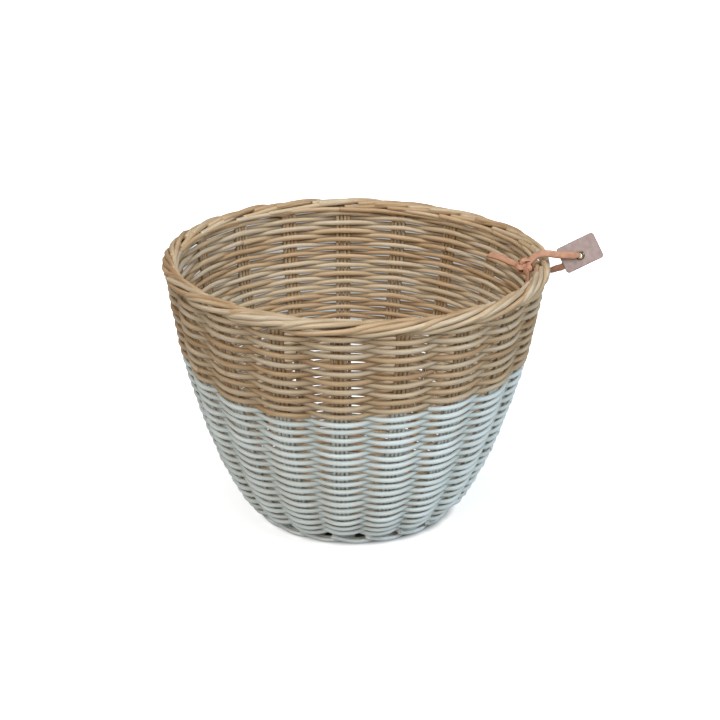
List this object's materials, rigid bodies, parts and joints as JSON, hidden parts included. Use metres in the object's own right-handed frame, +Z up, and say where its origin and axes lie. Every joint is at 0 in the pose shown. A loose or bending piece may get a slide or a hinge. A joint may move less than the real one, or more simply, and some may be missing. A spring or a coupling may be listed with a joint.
{
  "type": "storage basket",
  "caption": "Round woven rattan storage basket with tapering walls, a rolled border, a paint-dipped lower wall and a leather tag laced to its rim.",
  "frame": {"origin": "centre of the basket at the level it stands on", "axes": "+Z up through the mouth; -Y the side the picture looks at; +X the side with the leather tag"},
  "size_m": [0.3701, 0.3263, 0.2542],
  "materials": {
    "natural_rattan": "raw rattan rod, matte",
    "painted_rattan": "rattan with matte white paint on its outside",
    "lace_leather": "smooth tan leather",
    "tag_leather": "matte dusty pink leather, bare",
    "brass": "aged brass"
  },
  "bodies": {
    "basket": {"stake_01": "natural_rattan", "stake_02": "natural_rattan", "stake_03": "natural_rattan", "stake_04": "natural_rattan", "stake_05": "natural_rattan", "stake_06": "natural_rattan", "stake_07": "natural_rattan", "stake_08": "natural_rattan", "stake_09": "natural_rattan", "stake_10": "natural_rattan", "stake_11": "natural_rattan", "stake_12": "natural_rattan", "stake_13": "natural_rattan", "stake_14": "natural_rattan", "stake_15": "natural_rattan", "stake_16": "natural_rattan", "stake_17": "natural_rattan", "stake_18": "natural_rattan", "stake_19": "natural_rattan", "base_weaver": "natural_rattan", "weaver_01": "painted_rattan", "weaver_02": "painted_rattan", "weaver_03": "painted_rattan", "weaver_04": "painted_rattan", "weaver_05": "painted_rattan", "weaver_06": "painted_rattan", "weaver_07": "painted_rattan", "weaver_08": "painted_rattan", "weaver_09": "painted_rattan", "weaver_10": "natural_rattan", "weaver_11": "natural_rattan", "weaver_12": "natural_rattan", "weaver_13": "natural_rattan", "base_sticks_upper": "natural_rattan", "base_sticks_lower": "natural_rattan", "base_mat": "natural_rattan", "foot_border": "painted_rattan", "lace_over_rim": "lace_leather", "lace_under_border": "lace_leather", "lace_tail_upper": "lace_leather", "lace_tail_lower": "lace_leather", "lace_knot": "lace_leather"},
    "lace_loop": {"lace_loop": "lace_leather"},
    "tag": {"tag": "tag_leather", "eyelet": "brass"}
  },
  "joints": [
    {"name": "lace_swing", "type": "hinge", "parent": "basket", "child": "lace_loop", "pos_m": [0.16443, -0.01405, 0.20974], "axis": [-0.0851, -0.9964, 0], "range_deg": [-30, 0]},
    {"name": "tag_turn", "type": "hinge", "parent": "lace_loop", "child": "tag", "pos_m": [0.18782, -0.01605, 0.2356], "axis": [-0.0803, -0.9392, 0.3338], "range_deg": [-40, 40]}
  ]
}
